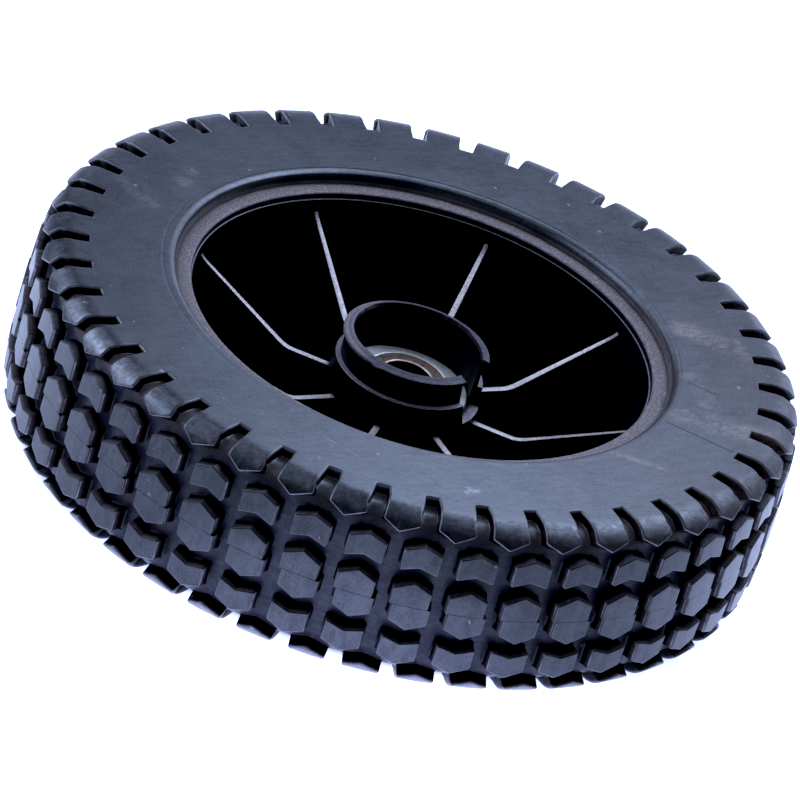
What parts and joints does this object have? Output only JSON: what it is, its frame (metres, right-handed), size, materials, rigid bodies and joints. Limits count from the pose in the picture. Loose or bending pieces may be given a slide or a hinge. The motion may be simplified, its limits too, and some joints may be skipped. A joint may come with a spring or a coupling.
{
  "type": "wheel",
  "caption": "Small machine wheel: ribbed plastic rim with a split hub collar, a rubber tyre with honeycomb tread and a ball bearing in each hub end.",
  "frame": {"origin": "centre of the wheel: on its axis, midway between the tyre's two sidewalls", "axes": "+Z along the wheel's axis towards the dished face with the split collar; the wheel lies flat on its other sidewall; a shoulder slot of the tyre is centred on +X"},
  "size_m": [0.2, 0.2, 0.0492],
  "materials": {
    "tyre_rubber": "dusty matt moulded rubber, slate grey",
    "rim_plastic": "moulded black plastic, satin, dusty at the flange",
    "zinc_shell": "zinc-plated stamped steel",
    "race_steel": "oiled steel with a brown tint",
    "ball_steel": "polished steel"
  },
  "bodies": {
    "wheel": {"tyre": "tyre_rubber", "rim": "rim_plastic", "front_outer_race": "zinc_shell", "back_outer_race": "zinc_shell"},
    "front_inner": {"front_inner_race": "race_steel"},
    "front_ball_set": {"front_balls": "ball_steel"},
    "back_inner": {"back_inner_race": "race_steel"},
    "back_ball_set": {"back_balls": "ball_steel"}
  },
  "joints": [
    {"name": "front_inner_spin", "type": "hinge", "parent": "wheel", "child": "front_inner", "pos_m": [0, 0, -0.0019], "axis": [0, 0, 1], "continuous": true},
    {"name": "front_balls_spin", "type": "hinge", "parent": "wheel", "child": "front_ball_set", "pos_m": [0, 0, -0.0019], "axis": [0, 0, 1], "continuous": true},
    {"name": "back_inner_spin", "type": "hinge", "parent": "wheel", "child": "back_inner", "pos_m": [0, 0, -0.01645], "axis": [0, 0, 1], "continuous": true},
    {"name": "back_balls_spin", "type": "hinge", "parent": "wheel", "child": "back_ball_set", "pos_m": [0, 0, -0.01645], "axis": [0, 0, 1], "continuous": true}
  ],
  "couplings": [
    {"joint": "front_balls_spin", "follows": "front_inner_spin", "ratio": 0.4},
    {"joint": "back_balls_spin", "follows": "back_inner_spin", "ratio": 0.4}
  ]
}
